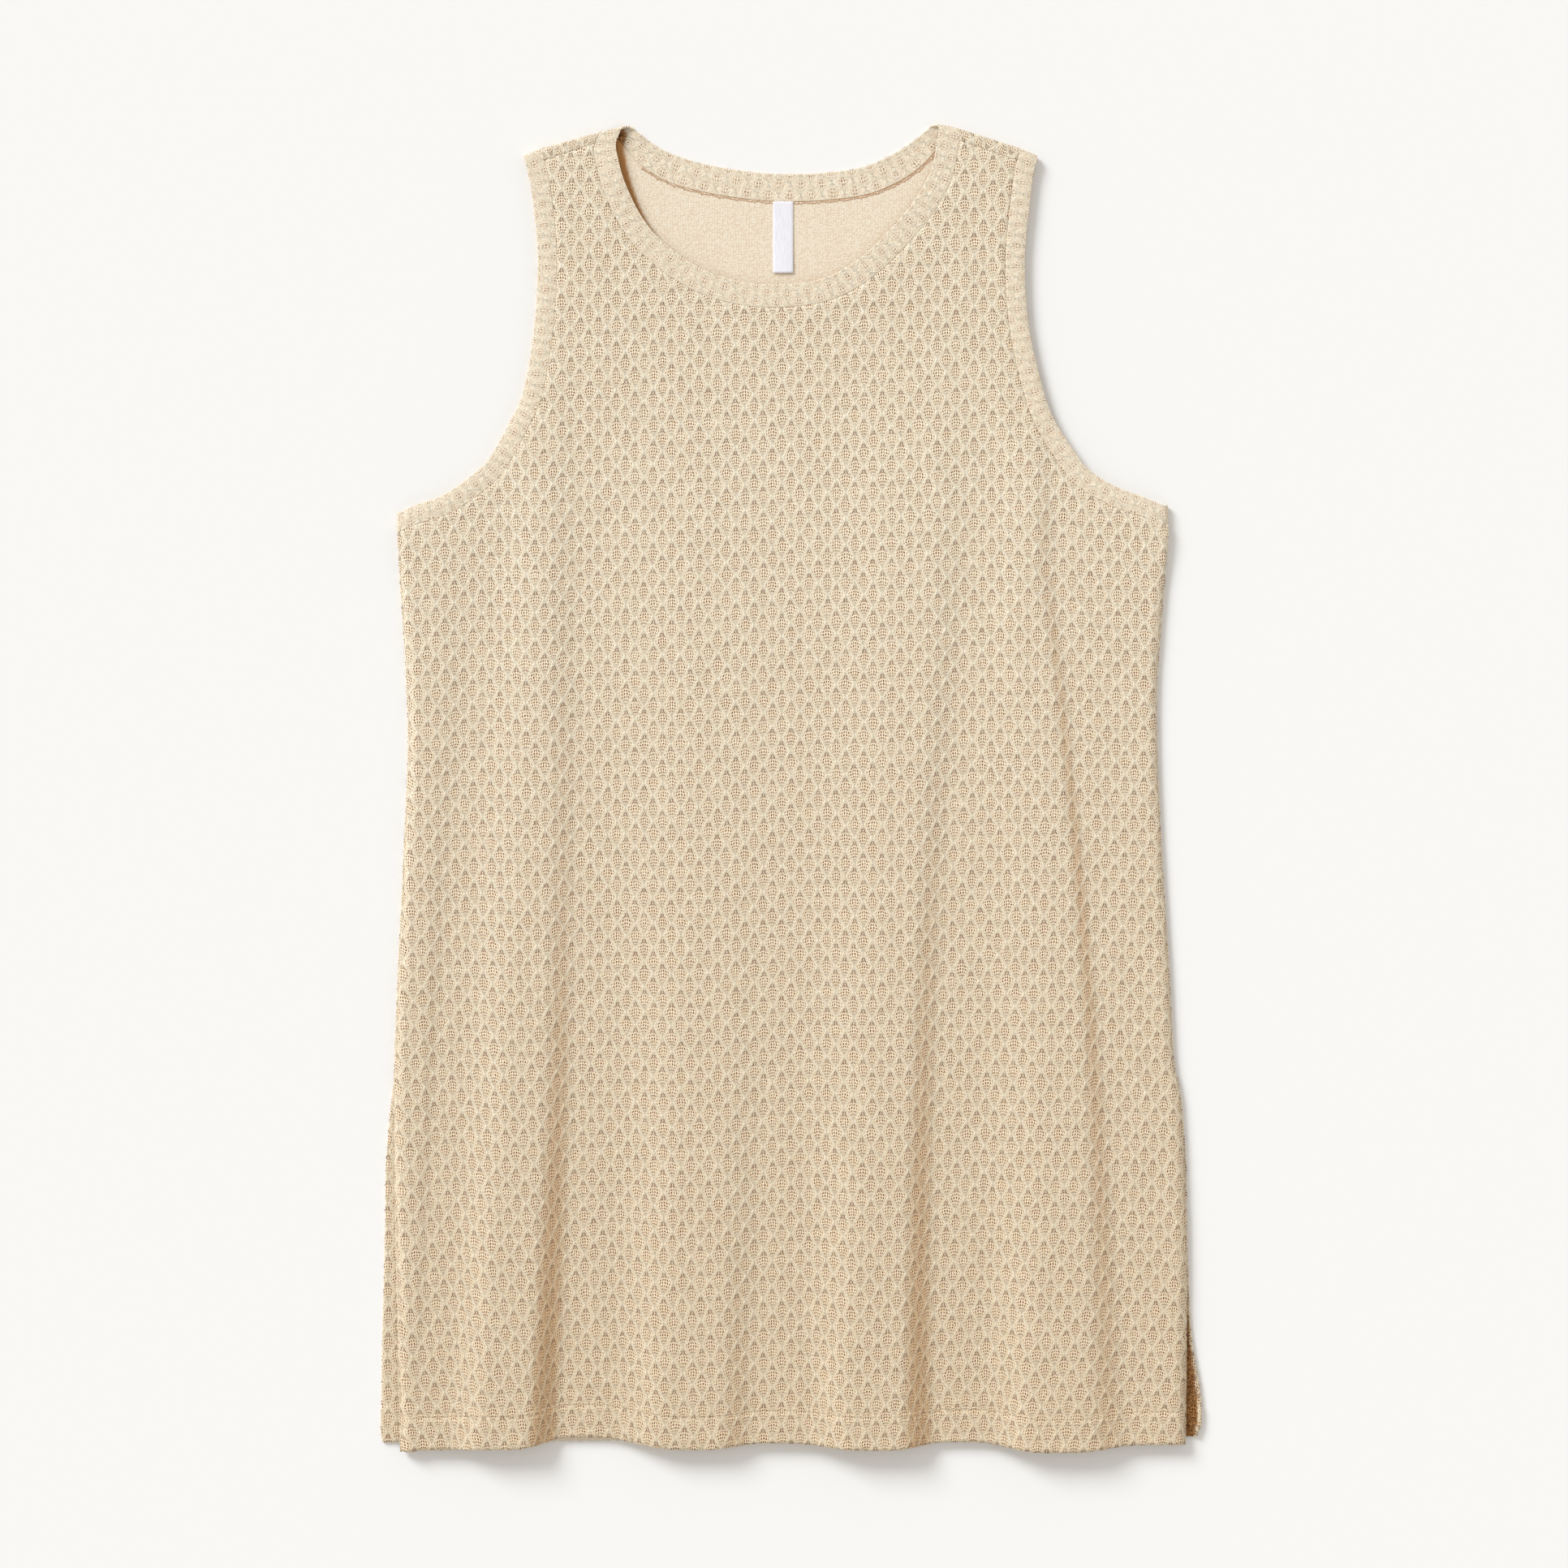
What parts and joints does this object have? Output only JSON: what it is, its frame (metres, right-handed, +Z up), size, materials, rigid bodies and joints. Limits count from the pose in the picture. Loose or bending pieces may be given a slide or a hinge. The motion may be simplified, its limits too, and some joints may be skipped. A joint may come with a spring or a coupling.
{
  "type": "crochet beach cover-up",
  "caption": "Sleeveless round-necked cover-up in an open diamond knit, laid flat with soft folds, side vents, bound neck and armholes and a blank label",
  "frame": {"origin": "middle of the bounding box, on the surface the garment lies on", "axes": "+Y from the hem to the neck, +Z up from the surface through the back panel to the front panel, +X towards the right of the picture"},
  "size_m": [0.5544, 0.8988, 0.0179],
  "materials": {
    "cream_knit": "soft matt knit",
    "cream_band": "soft matt knit",
    "white_satin": "smooth satin"
  },
  "bodies": {
    "root": {"front_panel": "cream_knit", "back_panel": "cream_knit", "neck_band": "cream_band", "armhole_band_left": "cream_band", "armhole_band_right": "cream_band", "label": "white_satin"}
  },
  "joints": []
}
